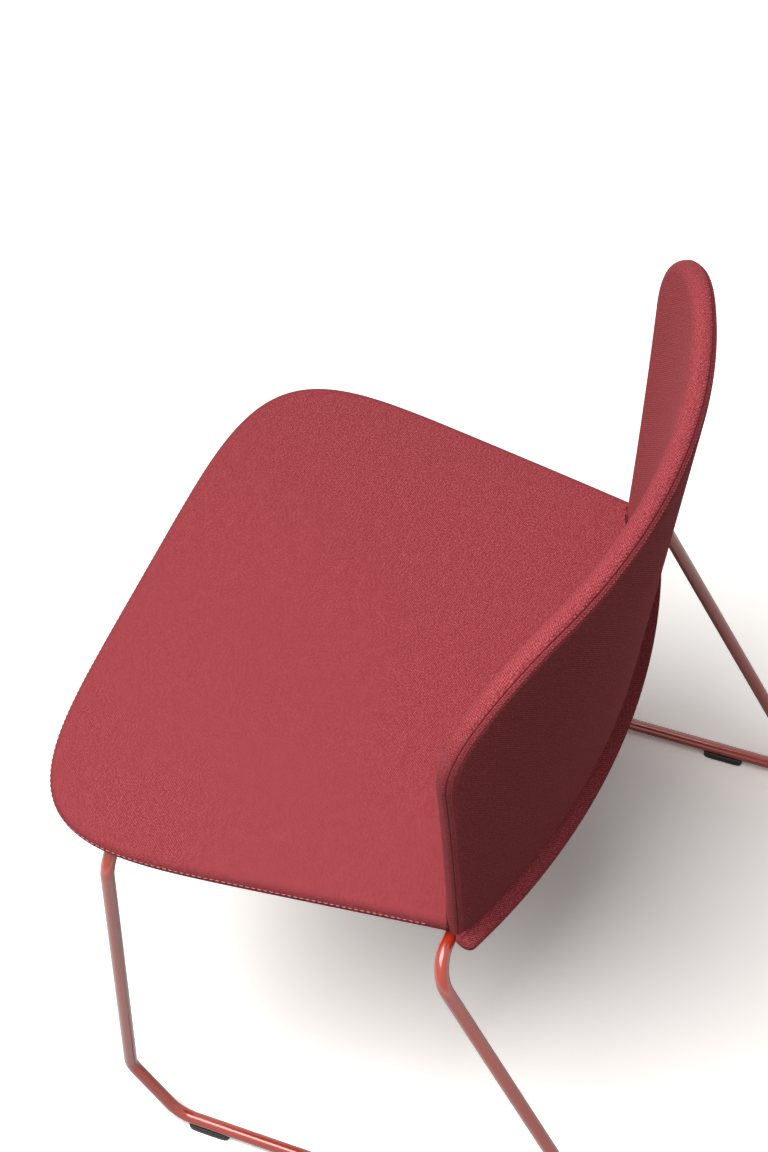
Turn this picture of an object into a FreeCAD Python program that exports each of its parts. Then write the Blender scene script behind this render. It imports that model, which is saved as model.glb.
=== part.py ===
import FreeCAD, Part
import math
import os

# Sled base visitor chair, upholstered seat and wrap-round back on a bent steel rod frame.
# Millimetres, +Z up, the sitter faces -Y, and X = 0 is the plane of symmetry.
# The origin is on the floor, midway between the seat's front edge and the rear bends.

Vector = FreeCAD.Vector
UP = Vector(0, 0, 1)
SIDES = {"left": 1, "right": -1}

# Sled frame, sizes to the rod's centre line
rod_diameter = 12.0
bend_radius = 28.0
runner_half_width = 278.0
runner_front_y = -167.6
runner_rear_y = 272.4
chamfer_run = 40.7
chamfer_rise = 68.0
front_leg_top_y = -177.3
rear_leg_top_y = 110.7
leg_top_half = 259.0
stub_end_x = 115.0
weld_flat = 0.5

# Cross bars that tie the two sides and carry the shell
bar_thickness = 3.0
bar_width = 30.0
bar_overhang = 55.0
bar_corner_radius = 8.0
screw_inset = 27.0
spacer_diameter = 24.0
spacer_thickness = 2.0

# Glides
glide_length = 40.0
glide_width = 17.0
glide_floor = 5.0
glide_wrap = 2.5
glide_end_radius = 6.0
glide_fit = 0.2
front_glide_y = -136.5
rear_glide_y = 185.6
pin_diameter = 4.0
pin_head_diameter = 7.0
pin_head_height = 1.5
pin_recess = 0.8
pin_depth_in_rod = 6.0
pin_fit = 0.1

# Seat, built level and then tilted about the crest of its front edge
seat_front_y = -264.8
seat_front_z = 455.0
seat_tilt = 3.3
seat_thickness = 15.0
seat_crown = 4.0
seat_crown_half = 165.0
seat_front_half = 275.8
seat_rear_half = 221.4
seat_front_bow = 12.9
seat_corner_radius = 96.0
seat_edge_radius = 8.5
seat_hem_radius = 3.0
seat_seam_height = 5.0
shell_thickness = 5.5
shell_edge_inset = 5.0

# Back, its height counted from the level of the seat's rear
back_level_z = 433.0
back_height = 348.0
back_drop = 16.5
back_thickness = 20.4
back_rim_radius = 9.4
hidden_bevel = 1.0
back_side_y = 112.9
back_side_lean = 47.0
back_arc_half = 227.6
back_sagitta_low = 48.0
back_sagitta_high = 60.6
back_low_half = 227.6
back_high_half = 266.0
back_top_bow = 14.0
back_corner_radius = 90.0
back_foot_radius = 14.0
back_shell_thickness = 6.0
back_seam_offset = 2.6
welt_width = 1.2
welt_proud = 0.6
edge_roll_width = 8.0

# Rear band, where the underside cover turns up behind the back
band_height = 23.0
band_swell = 12.0
band_lip = 1.6
band_base = 13.0
band_front_offset = 4.8
band_end_margin = 3.0

# Fabric and fits
fabric = 1.6
soft_gap = 0.3

# Screws, tee nuts and brackets
screw_diameter = 6.0
screw_head_diameter = 12.0
screw_head_height = 3.6
screw_fit = 0.3
nut_flange_diameter = 19.0
nut_flange_thickness = 1.2
nut_barrel_diameter = 8.0
bracket_width = 36.0
bracket_thickness = 2.5
bracket_foot = 36.0
bracket_rise = 42.0
bracket_turn = 15.0
bracket_gap = 0.9
bolt_diameter = 5.0
bolt_head_diameter = 10.0
bolt_head_height = 2.2
bolt_height = 26.0

# Derived levels; those of the seat are in its level frame
rod_radius = rod_diameter / 2
runner_z = glide_floor + rod_radius
seat_bottom_z = seat_front_z - seat_thickness
seat_seam_z = seat_bottom_z + seat_seam_height
shell_bottom_z = seat_bottom_z + fabric
shell_top_z = shell_bottom_z + shell_thickness
bar_top_z = seat_bottom_z - spacer_thickness
bar_bottom_z = bar_top_z - bar_thickness
back_top_z = back_level_z + back_height
back_foot_z = back_level_z - back_drop
band_bottom_z = back_foot_z - soft_gap - band_base


def line(start, end):
    return Part.LineSegment(start, end).toShape()


def arc(start, middle, end):
    return Part.Arc(start, middle, end).toShape()


def cylinder(diameter, height, base, direction=UP):
    return Part.makeCylinder(diameter / 2, height, base, direction)


def mirrored(shape):
    return shape.mirror(Vector(0, 0, 0), Vector(1, 0, 0))


def group(shapes):
    return Part.makeCompound(shapes)


def tilted(shape):
    """From the seat's level frame to its place: the rear goes down about the front crest."""
    return shape.rotated(Vector(0, seat_front_y, seat_front_z), Vector(1, 0, 0), -seat_tilt)


def tilted_point(point):
    return tilted(Part.Vertex(point)).Point


def is_upright(edge):
    first = edge.Vertexes[0].Point
    last = edge.Vertexes[-1].Point
    return edge.Length > 0 and abs(first.x - last.x) < 1e-6 and abs(first.y - last.y) < 1e-6


def is_along_y(edge):
    first = edge.Vertexes[0].Point
    last = edge.Vertexes[-1].Point
    return abs(first.x - last.x) < 1e-6 and abs(first.z - last.z) < 1e-6


def bent_rod(points, radius, diameter):
    """Round rod along straight runs joined by tangent arcs of one bend radius."""
    edges = []
    start = points[0]
    for before, corner, after in zip(points, points[1:], points[2:]):
        incoming = (corner - before).normalize()
        outgoing = (after - corner).normalize()
        half_turn = incoming.getAngle(outgoing) / 2
        tangent = radius * math.tan(half_turn)
        arc_start = corner - incoming * tangent
        arc_end = corner + outgoing * tangent
        inward = (outgoing - incoming).normalize()
        arc_middle = corner + inward * (radius / math.cos(half_turn) - radius)
        edges.append(line(start, arc_start))
        edges.append(arc(arc_start, arc_middle, arc_end))
        start = arc_end
    edges.append(line(start, points[-1]))
    section = Part.Wire(Part.makeCircle(diameter / 2, points[0], points[1] - points[0]))
    return Part.Wire(edges).makePipeShell([section], True, False)


def stub_places():
    """Where the two stubs cross the seat's level frame, as front and rear y."""
    places = {}
    for end, world_y in (("front", front_leg_top_y), ("rear", rear_leg_top_y)):
        places[end] = seat_front_y + (world_y - seat_front_y) / math.cos(math.radians(seat_tilt))
    return places


def stub_axis(end):
    """Point on a stub's centre line, under the weld flat of its cross bar."""
    axis_z = bar_bottom_z + weld_flat - rod_radius
    return tilted_point(Vector(0, stub_places()[end], axis_z))


def sled_rod():
    """One side of the frame: stub, front leg, chamfer, runner, rear leg, stub."""
    front_stub = stub_axis("front")
    rear_stub = stub_axis("rear")
    lean_in = (leg_top_half - runner_half_width) / (front_stub.z - runner_z)
    chamfer_top_x = runner_half_width + lean_in * chamfer_rise
    points = [
        Vector(stub_end_x, front_stub.y, front_stub.z),
        Vector(leg_top_half, front_stub.y, front_stub.z),
        Vector(chamfer_top_x, runner_front_y - chamfer_run, runner_z + chamfer_rise),
        Vector(runner_half_width, runner_front_y, runner_z),
        Vector(runner_half_width, runner_rear_y, runner_z),
        Vector(leg_top_half, rear_stub.y, rear_stub.z),
        Vector(stub_end_x, rear_stub.y, rear_stub.z),
    ]
    rod = bent_rod(points, bend_radius, rod_diameter)
    for stub_y in stub_places().values():
        corner = Vector(stub_end_x, stub_y - bar_width / 2, bar_bottom_z)
        rod = rod.cut(tilted(Part.makeBox(bar_overhang, bar_width, rod_radius, corner)))
    hole_depth = pin_depth_in_rod + pin_fit
    for glide_y in glide_places().values():
        hole_base = Vector(runner_half_width, glide_y, glide_floor - rod_radius)
        rod = rod.cut(cylinder(pin_diameter + 2 * pin_fit, rod_radius + hole_depth, hole_base))
    return rod


def glide_places():
    return {"front": front_glide_y, "rear": rear_glide_y}


def glide(glide_y):
    """Plastic shoe that clasps the runner from below and is pinned into it."""
    height = runner_z + glide_wrap
    corner = Vector(runner_half_width - glide_width / 2, glide_y - glide_length / 2, 0)
    shoe = Part.makeBox(glide_width, glide_length, height, corner)
    shoe = shoe.makeFillet(glide_end_radius, [edge for edge in shoe.Edges if is_upright(edge)])
    groove_start = Vector(runner_half_width, glide_y - glide_length, runner_z)
    groove_diameter = rod_diameter + 2 * glide_fit
    shoe = shoe.cut(cylinder(groove_diameter, 2 * glide_length, groove_start, Vector(0, 1, 0)))
    mouth = Vector(runner_half_width - rod_radius + glide_fit, glide_y - glide_length, runner_z)
    shoe = shoe.cut(Part.makeBox(rod_diameter - 2 * glide_fit, 2 * glide_length, height, mouth))
    axis_foot = Vector(runner_half_width, glide_y, 0)
    shoe = shoe.cut(cylinder(pin_diameter + 2 * pin_fit, runner_z, axis_foot))
    recess = pin_recess + pin_head_height
    return shoe.cut(cylinder(pin_head_diameter + 2 * pin_fit, recess, axis_foot))


def glide_pin(glide_y):
    """Headed pin through the shoe's floor into the runner."""
    foot = Vector(runner_half_width, glide_y, pin_recess)
    head = cylinder(pin_head_diameter, pin_head_height, foot)
    shank_top = glide_floor + pin_depth_in_rod
    return head.fuse(cylinder(pin_diameter, shank_top - pin_recess, foot))


def screw_x():
    return stub_end_x - screw_inset


def fixing_places():
    return [(side * screw_x(), y) for y in stub_places().values() for side in SIDES.values()]


def cross_bar(bar_y):
    """Flat steel bar welded on the two stubs, with a screw hole near each end."""
    half = stub_end_x + bar_overhang
    corner = Vector(-half, bar_y - bar_width / 2, bar_bottom_z)
    bar = Part.makeBox(2 * half, bar_width, bar_thickness, corner)
    bar = bar.makeFillet(bar_corner_radius, [edge for edge in bar.Edges if is_upright(edge)])
    for side in SIDES.values():
        foot = Vector(side * screw_x(), bar_y, bar_bottom_z)
        bar = bar.cut(cylinder(screw_diameter + 2 * screw_fit, bar_thickness, foot))
    return tilted(bar)


def spacer(x, y):
    """Plastic washer that keeps the bar off the fabric."""
    foot = Vector(x, y, bar_top_z)
    bore = cylinder(screw_diameter + 2 * screw_fit, spacer_thickness, foot)
    return tilted(cylinder(spacer_diameter, spacer_thickness, foot).cut(bore))


def seat_screw(x, y):
    """Pan head screw up through bar, spacer, cover and shell."""
    head_foot = Vector(x, y, bar_bottom_z - screw_head_height)
    head = cylinder(screw_head_diameter, screw_head_height, head_foot)
    rim = [edge for edge in head.Edges if abs(edge.BoundBox.ZMax - head_foot.z) < 0.01]
    head = head.makeFillet(screw_head_height / 3, rim)
    shank = cylinder(screw_diameter, shell_top_z - bar_bottom_z, Vector(x, y, bar_bottom_z))
    return tilted(head.fuse(shank))


def tee_nut(x, y):
    """Flanged nut pressed into the shell from above."""
    foot = Vector(x, y, shell_bottom_z)
    barrel = cylinder(nut_barrel_diameter, shell_thickness, foot)
    flange = cylinder(nut_flange_diameter, nut_flange_thickness, Vector(x, y, shell_top_z))
    bore = cylinder(screw_diameter + 2 * pin_fit, 2 * shell_thickness, foot)
    return tilted(barrel.fuse(flange).cut(bore))


def sagitta(level):
    """Depth of the back's plan curve over its reference width, at a level."""
    rise = (level - back_level_z) / back_height
    return back_sagitta_low + (back_sagitta_high - back_sagitta_low) * rise


def back_mid_y(level):
    """Middle of the back's thickness on the plane of symmetry, at a level."""
    rise = (level - back_level_z) / back_height
    return back_side_y + back_side_lean * rise + sagitta(level)


def plan_radius(level):
    return (back_arc_half ** 2 + sagitta(level) ** 2) / (2 * sagitta(level))


def crescent(level, front_offset, rear_offset):
    """Plan section of the back: two concentric arcs closed by radial ends."""
    radius = plan_radius(level)
    centre = Vector(0, back_mid_y(level) - radius, level)
    half_angle = 1.4 * math.asin(back_arc_half / radius)

    def on_arc(offset, angle):
        reach = radius + offset
        return centre + Vector(reach * math.sin(angle), reach * math.cos(angle), 0)

    front = [on_arc(front_offset, angle) for angle in (-half_angle, 0, half_angle)]
    rear = [on_arc(rear_offset, angle) for angle in (half_angle, 0, -half_angle)]
    return Part.Wire([arc(*front), line(front[2], rear[0]), arc(*rear), line(rear[2], front[0])])


def back_layer(front_offset, rear_offset):
    """Curved layer of the back between two offsets from its middle surface."""
    low = back_foot_z - back_thickness
    high = back_top_z + back_thickness
    levels = [low + (high - low) * step / 2 for step in range(3)]
    sections = [crescent(level, front_offset, rear_offset) for level in levels]
    return Part.makeLoft(sections, True, False)


def back_outline(inset, foot_z):
    """Front view of the back as a prism through its depth, rounded at its four corners."""
    slope = (back_high_half - back_low_half) / (back_height - back_top_bow)
    foot_half = back_low_half + slope * (foot_z - back_level_z)
    shoulder_z = back_top_z - back_top_bow
    foot_left = Vector(-foot_half, seat_front_y, foot_z)
    foot_right = Vector(foot_half, seat_front_y, foot_z)
    top_right = Vector(back_high_half, seat_front_y, shoulder_z)
    top_left = Vector(-back_high_half, seat_front_y, shoulder_z)
    crest = Vector(0, seat_front_y, back_top_z)
    outline = Part.Wire([line(foot_left, foot_right), line(foot_right, top_right),
                         arc(top_right, crest, top_left), line(top_left, foot_left)])
    through = Vector(0, runner_rear_y - seat_front_y, 0)
    prism = Part.Face(outline).extrude(through)
    corners = [edge for edge in prism.Edges if is_along_y(edge)]
    top = [edge for edge in corners if edge.CenterOfMass.z > back_level_z]
    foot = [edge for edge in corners if edge.CenterOfMass.z < back_level_z]
    prism = prism.makeFillet(back_corner_radius, top)
    foot = [edge for edge in prism.Edges
            if is_along_y(edge) and edge.CenterOfMass.z < foot_z + 1]
    prism = prism.makeFillet(back_foot_radius, foot)
    if inset == 0:
        return prism
    front_face = min(prism.Faces, key=lambda face: face.CenterOfMass.y)
    return front_face.makeOffset2D(-inset).extrude(through)


def back_form(inset):
    """The upholstered back drawn in by an inset: round-edged, or bevelled where it is hidden."""
    half = back_thickness / 2 - inset
    body = back_layer(-half, half).common(back_outline(inset, back_foot_z)).Solids[0]
    big = sorted(body.Faces, key=lambda face: -face.Area)[:2]
    rim = [edge for face in big for edge in face.Edges]
    radius = back_rim_radius - inset
    if inset > 0:
        return body.makeChamfer(hidden_bevel * radius, rim)
    return body.makeFillet(radius, rim)


def seat_outline(inset):
    """Plan of the seat: bowed front, tapering sides, large front corners, square rear."""
    front_y = seat_front_y + seat_front_bow
    rear_y = back_mid_y(back_level_z)
    front_right = Vector(seat_front_half, front_y, 0)
    front_left = Vector(-seat_front_half, front_y, 0)
    rear_right = Vector(seat_rear_half, rear_y, 0)
    rear_left = Vector(-seat_rear_half, rear_y, 0)
    nose = Vector(0, seat_front_y, 0)
    outline = Part.Wire([arc(front_left, nose, front_right), line(front_right, rear_right),
                         line(rear_right, rear_left), line(rear_left, front_left)])
    prism = Part.Face(outline).extrude(UP)
    corners = [edge for edge in prism.Edges if is_upright(edge) and edge.CenterOfMass.y < 0]
    prism = prism.makeFillet(seat_corner_radius, corners)
    plan = min(prism.Faces, key=lambda face: face.CenterOfMass.z)
    return plan if inset == 0 else plan.makeOffset2D(-inset)


def plan_prism(inset, low_z, high_z):
    """The seat's plan, drawn in by an inset, as a prism between two levels."""
    plan = seat_outline(inset)
    plan.translate(Vector(0, 0, low_z - plan.CenterOfMass.z))
    return plan.extrude(Vector(0, 0, high_z - low_z))


def behind_seat(inset):
    """Everything behind the face where the seat meets the back's front cover."""
    return back_layer(-back_thickness / 2 - soft_gap - inset, seat_rear_half)


def front_and_sides(edges):
    """Leaves out the edge that lies along the square rear of the seat's plan."""
    rearmost = max(edges, key=lambda edge: edge.CenterOfMass.y)
    return [edge for edge in edges if not edge.isSame(rearmost)]


def seat_form(inset):
    """The upholstered seat as one crowned, round-edged body, drawn in by an inset."""
    foot_z = seat_bottom_z + inset
    body = plan_prism(inset, foot_z, seat_front_z - inset)
    upper = [edge for edge in body.Edges if edge.BoundBox.ZMin > foot_z + 1]
    body = body.makeFillet(seat_edge_radius - inset, front_and_sides(upper))
    lower = [edge for edge in body.Edges if abs(edge.BoundBox.ZMax - foot_z) < 0.01]
    body = body.makeFillet(seat_hem_radius - inset, front_and_sides(lower))
    body = body.fuse(seat_dome(inset, foot_z)).removeSplitter()
    return tilted(body).cut(behind_seat(inset))


def seat_dome(inset, foot_z):
    """Shallow spherical crown on the middle of the seat, drawn in by an inset."""
    radius = (seat_crown_half ** 2 + seat_crown ** 2) / (2 * seat_crown)
    middle_y = (seat_front_y + back_side_y) / 2
    centre = Vector(0, middle_y, seat_front_z + seat_crown - radius)
    ball = Part.makeSphere(radius - inset, centre, Vector(1, 0, 0))
    root = Vector(0, middle_y, (foot_z + seat_front_z) / 2)
    return ball.common(cylinder(2 * seat_crown_half + seat_thickness, seat_thickness, root))


def between(shape, low_z, high_z):
    """The part of a shape between two levels of the seat's frame."""
    reach = 2 * seat_front_half
    slab = Part.makeBox(2 * reach, 2 * reach, high_z - low_z, Vector(-reach, -reach, low_z))
    return shape.common(tilted(slab))


def turned(shape, angle):
    """A shape on the plane of symmetry, swung in the pan's plane round the back's plan centre."""
    centre_y = back_mid_y(back_level_z) - plan_radius(back_level_z)
    pivot = tilted_point(Vector(0, centre_y, shell_top_z))
    normal = tilted_point(Vector(0, centre_y, shell_top_z + 1)) - pivot
    return shape.rotated(pivot, normal, angle)


def at_brackets(shapes):
    turns = (-bracket_turn, 0, bracket_turn)
    return group([turned(shape, turn) for turn in turns for shape in shapes])


def lean_direction():
    """Unit vector up the back's middle line, on the plane of symmetry."""
    run = back_mid_y(back_top_z) - back_mid_y(back_level_z)
    return Vector(0, run, back_height).normalize()


def bolt_direction():
    lean = lean_direction()
    return Vector(0, lean.z, -lean.y)


def bracket_heel():
    """Where the pan's top meets the back shell's front face, less a gap."""
    front = tilted_point(Vector(0, 0, shell_top_z))
    rearward = tilted_point(Vector(0, 1, shell_top_z)) - front
    slope = (back_mid_y(back_top_z) - back_mid_y(back_level_z)) / back_height
    gap = back_shell_thickness / 2 + bracket_gap
    wanted = back_mid_y(front.z) - gap - front.y
    return front + rearward * (wanted / (rearward.y - slope * rearward.z))


def bracket(grow=0.0):
    """Steel angle: foot on the pan, leg up the back shell, grown by a clearance."""
    heel = bracket_heel()
    lean = lean_direction()
    angle = math.radians(seat_tilt)
    forward = Vector(0, -math.cos(angle), math.sin(angle))
    normal = Vector(0, math.sin(angle), math.cos(angle))
    thickness = bracket_thickness + grow
    top = bracket_rise + grow
    toe = bracket_foot + grow
    behind = forward * -grow
    profile = [
        heel + behind,
        heel + behind + lean * top,
        heel + forward * thickness + lean * top,
        heel + forward * thickness + lean * (thickness / lean.dot(normal)),
        heel + forward * toe + normal * thickness,
        heel + forward * toe,
    ]
    half = Vector(-bracket_width / 2 - grow, 0, 0)
    profile = [point + half for point in profile]
    angle_iron = Part.Face(Part.makePolygon(profile + profile[:1])).extrude(half * -2)
    if grow:
        return angle_iron
    return angle_iron.cut(back_bolt(pin_fit)).cut(foot_screw(pin_fit))


def back_bolt(grow=0.0):
    """Bolt through the back shell and the bracket's leg, its head behind the shell."""
    out = bolt_direction()
    on_axis = bracket_heel() + lean_direction() * bolt_height
    reach = bracket_thickness + bolt_head_height
    grip = back_shell_thickness + bracket_gap + soft_gap
    shank = cylinder(bolt_diameter + 2 * grow, reach + grip, on_axis - out * reach, out)
    head_start = on_axis + out * grip
    return shank.fuse(cylinder(bolt_head_diameter + 2 * grow, bolt_head_height, head_start, out))


def back_nut(grow=0.0):
    """Round nut on the bracket's front face."""
    out = bolt_direction()
    reach = bracket_thickness + bolt_head_height
    start = bracket_heel() + lean_direction() * bolt_height - out * (reach + grow)
    nut = cylinder(bolt_head_diameter + 2 * grow, bolt_head_height + grow, start, out)
    if grow:
        return nut
    return nut.cut(cylinder(bolt_diameter + 2 * pin_fit, bolt_head_height, start, out))


def foot_screw(grow=0.0):
    """Countersunk screw through the bracket's foot into the pan."""
    angle = math.radians(seat_tilt)
    forward = Vector(0, -math.cos(angle), math.sin(angle))
    normal = Vector(0, math.sin(angle), math.cos(angle))
    place = bracket_heel() + forward * (bracket_foot - bolt_head_diameter)
    countersink = bracket_thickness - pin_fit
    head = Part.makeCone(bolt_diameter / 2 + grow, bolt_head_diameter / 2 + grow, countersink,
                         place + normal * pin_fit, normal)
    depth = shell_thickness - fabric
    shank = cylinder(bolt_diameter + 2 * grow, depth + bracket_thickness / 2,
                     place - normal * depth, normal)
    return head.fuse(shank)


def seat_parts(rooms):
    """Pan, foam, top cover and underside cover, with room for what passes them."""
    pan = tilted(plan_prism(shell_edge_inset, shell_bottom_z, shell_top_z))
    pan = pan.cut(behind_seat(fabric + soft_gap)).cut(at_brackets([foot_screw(pin_fit)]))
    outside = seat_form(0)
    skin = outside.cut(seat_form(fabric))
    foam = seat_form(fabric + soft_gap)
    foam = foam.cut(tilted(plan_prism(shell_edge_inset - soft_gap, seat_bottom_z, shell_top_z)))
    tray = between(skin, seat_bottom_z - 1, seat_seam_z)
    for x, y in fixing_places():
        barrel_foot = Vector(x, y, shell_bottom_z)
        flange_foot = Vector(x, y, shell_top_z)
        tray_foot = Vector(x, y, seat_bottom_z)
        hole = cylinder(nut_barrel_diameter + 2 * pin_fit, shell_thickness, barrel_foot)
        room = cylinder(nut_flange_diameter + 2 * soft_gap, nut_flange_thickness + soft_gap,
                        flange_foot)
        pan = pan.cut(tilted(hole))
        foam = foam.cut(tilted(room))
        tray = tray.cut(tilted(cylinder(screw_diameter + 2 * screw_fit, fabric, tray_foot)))
    return {
        "seat_shell": pan,
        "seat_foam": foam.cut(rooms),
        "seat_cover": between(skin, seat_seam_z, back_top_z).cut(rooms),
        "seat_underside_cover": tray,
    }


def back_parts(rooms):
    """Shell, foam layers, edge roll, covers and seam welt of the back."""
    half_shell = back_shell_thickness / 2
    inside = back_form(fabric + soft_gap)
    core = inside.common(back_layer(-half_shell, half_shell))
    lining = back_form(fabric)
    skin = back_form(0).cut(lining)
    proud_skin = back_form(-welt_proud).cut(lining)
    welt_front = back_seam_offset + soft_gap
    welt_rear = welt_front + welt_width
    far = back_thickness
    return {
        "back_shell": core.common(back_outline(edge_roll_width, back_foot_z)).cut(rooms),
        "back_edge_roll": core.cut(back_outline(edge_roll_width - soft_gap, back_foot_z)),
        "back_foam_front": inside.common(back_layer(-far, -half_shell - soft_gap)).cut(rooms),
        "back_foam_rear": inside.common(back_layer(half_shell + soft_gap, far)).cut(rooms),
        "back_cover": skin.common(back_layer(-far, back_seam_offset)).cut(rooms),
        "back_seam_welt": proud_skin.common(back_layer(welt_front, welt_rear)),
        "back_rear_panel": skin.common(back_layer(welt_rear + soft_gap, far)),
    }


def rear_band():
    """Padded band that turns up behind the back and runs under its lower edge."""
    inner = back_thickness / 2 + soft_gap
    steps = (0, 0.15, 0.35, 0.6, 0.82, 1)
    sections = []
    for step in steps:
        swell = math.cos(math.pi * (step - 0.3) / 1.4) ** 2
        outer = inner + band_lip + swell * (band_swell - band_lip)
        sections.append(crescent(band_bottom_z + step * band_height, inner, outer))
    upturn = Part.makeLoft(sections, True, False)
    base_rear = inner + band_swell / 2
    base_levels = (band_bottom_z, band_bottom_z + band_base)
    base_sections = [crescent(level, band_front_offset, base_rear) for level in base_levels]
    base = Part.makeLoft(base_sections, True, True)
    ends = back_outline(band_end_margin, band_bottom_z - band_end_margin)
    return upturn.fuse(base).common(ends).Solids[0]


def write(name, shape):
    solids = shape.Solids
    kept = solids[0] if len(solids) == 1 else group(solids)
    kept.exportStep("parts/" + name + ".step")
    print(name, len(solids), round(sum(solid.Volume for solid in solids)), kept.isValid())


def main():
    os.makedirs("parts", exist_ok=True)
    rod = sled_rod()
    write("left_sled_rod", rod)
    write("right_sled_rod", mirrored(rod))
    for end, bar_y in stub_places().items():
        write(end + "_cross_bar", cross_bar(bar_y))
        for side_name, side in SIDES.items():
            write(end + "_" + side_name + "_spacer", spacer(side * screw_x(), bar_y))
    for end, glide_y in glide_places().items():
        shoe = glide(glide_y)
        write(end + "_left_glide", shoe)
        write(end + "_right_glide", mirrored(shoe))
    pins = [glide_pin(glide_y) for glide_y in glide_places().values()]
    write("glide_pins", group(pins + [mirrored(pin) for pin in pins]))
    write("seat_screws", group([seat_screw(x, y) for x, y in fixing_places()]))
    write("tee_nuts", group([tee_nut(x, y) for x, y in fixing_places()]))
    rooms = at_brackets([bracket(soft_gap), back_bolt(soft_gap), back_nut(soft_gap)])
    for name, shape in {**seat_parts(rooms), **back_parts(rooms)}.items():
        write(name, shape)
    write("rear_band", rear_band())
    write("back_brackets", at_brackets([bracket()]))
    write("bracket_bolts", at_brackets([back_bolt()]))
    write("bracket_nuts", at_brackets([back_nut()]))
    write("bracket_screws", at_brackets([foot_screw()]))


main()
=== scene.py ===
"""Looks of an upholstered visitor chair on a sled base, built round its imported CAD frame."""

import math

import bmesh
import bpy
import numpy as np
from bpy.props import FloatProperty, FloatVectorProperty, PointerProperty, StringProperty
from bpy.types import Operator, Panel, PropertyGroup
from mathutils import Matrix, Vector


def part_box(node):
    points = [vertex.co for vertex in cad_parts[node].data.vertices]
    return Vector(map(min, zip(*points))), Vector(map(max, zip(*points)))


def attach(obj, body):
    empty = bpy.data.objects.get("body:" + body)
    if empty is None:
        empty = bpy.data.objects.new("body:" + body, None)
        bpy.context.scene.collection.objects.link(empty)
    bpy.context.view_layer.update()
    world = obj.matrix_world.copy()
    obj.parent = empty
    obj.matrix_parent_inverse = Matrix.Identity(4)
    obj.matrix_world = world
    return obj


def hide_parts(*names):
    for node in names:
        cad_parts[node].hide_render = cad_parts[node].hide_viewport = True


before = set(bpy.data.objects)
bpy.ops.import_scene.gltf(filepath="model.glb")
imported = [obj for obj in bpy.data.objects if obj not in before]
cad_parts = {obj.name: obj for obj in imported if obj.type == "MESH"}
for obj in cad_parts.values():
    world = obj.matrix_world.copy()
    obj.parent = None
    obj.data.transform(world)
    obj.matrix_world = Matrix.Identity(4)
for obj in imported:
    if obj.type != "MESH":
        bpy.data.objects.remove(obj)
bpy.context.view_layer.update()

bl_info = {
    "name": "Sled Base Visitor Chair",
    "version": (1, 0, 0),
    "blender": (4, 5, 0),
    "location": "3D View > Sidebar > Chair",
    "description": "Adds the upholstery, frame finish and studio of a sled base visitor chair",
    "category": "Add Mesh",
}

BODY = "root"
MM = 0.001
OUTLINE_POINTS = 1440


# Settings

def length_setting(name, description, default):
    """A length in metres."""
    return FloatProperty(name=name, description=description, default=default,
                         subtype="DISTANCE", unit="LENGTH")


def angle_setting(name, description, degrees):
    """An angle, given in degrees."""
    return FloatProperty(name=name, description=description, default=math.radians(degrees),
                         subtype="ANGLE", unit="ROTATION")


def colour_setting(name, description, default):
    """A colour, given as sRGB hex."""
    return StringProperty(name=name, description=description + ", as sRGB hex", default=default)


class SeatSettings(PropertyGroup):
    front_y: length_setting("Front Edge", "Where the seat's front edge lies", -0.2648)
    front_z: length_setting("Front Height", "Height of the front edge's crest", 0.455)
    tilt: angle_setting("Tilt", "How far the seat falls to the rear", 3.3)
    thickness: length_setting("Edge Thickness", "Thickness of the pad at its edge", 0.015)
    crown: length_setting("Crown", "Rise of the pad in its middle", 0.006)
    half_width: length_setting("Half Width", "Half the width where the seat crosses the origin", 0.2435)
    taper: FloatProperty(
        name="Taper", description="How much each side draws in per metre to the rear",
        default=0.1428)
    corner_power: FloatProperty(
        name="Corner Fullness", description="Exponent of the rounded front corners",
        default=4.75)
    corner_length: length_setting("Corner Length", "How far back the front corners run", 0.2557)
    seam_height: length_setting("Seam Height", "Seam above the underside of the pad", 0.0038)
    edge_radius: length_setting("Edge Radius", "Rounding of the upper edge", 0.009)


class BackSettings(PropertyGroup):
    level_z: length_setting("Level", "Height at which the back meets the seat", 0.433)
    height: length_setting("Height", "Height of the back above that level", 0.351)
    drop: length_setting("Drop", "How far the back runs down beside the seat", 0.0255)
    thickness: length_setting("Thickness", "Thickness of the padded back", 0.0204)
    side_y: length_setting("Side Place", "Where the back's sides meet the seat", 0.1129)
    lean: length_setting("Lean", "How far the sides lean to the rear over the height", 0.047)
    low_half: length_setting("Lower Half Width", "Half width at the seat", 0.2276)
    high_half: length_setting("Upper Half Width", "Half width at the shoulders", 0.266)
    low_curve: length_setting("Lower Curve", "Depth of the plan curve at the seat", 0.048)
    high_curve: length_setting("Upper Curve", "Depth of the plan curve at the top", 0.0606)
    top_bow: length_setting("Top Bow", "Rise of the top edge in its middle", 0.014)
    corner_radius: length_setting("Corner Radius", "Radius of the two upper corners", 0.090)
    foot_radius: length_setting("Foot Radius", "Radius of the two lower corners", 0.012)
    seam_offset: length_setting("Seam Offset", "Seam behind the middle of the rim", 0.0058)


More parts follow.
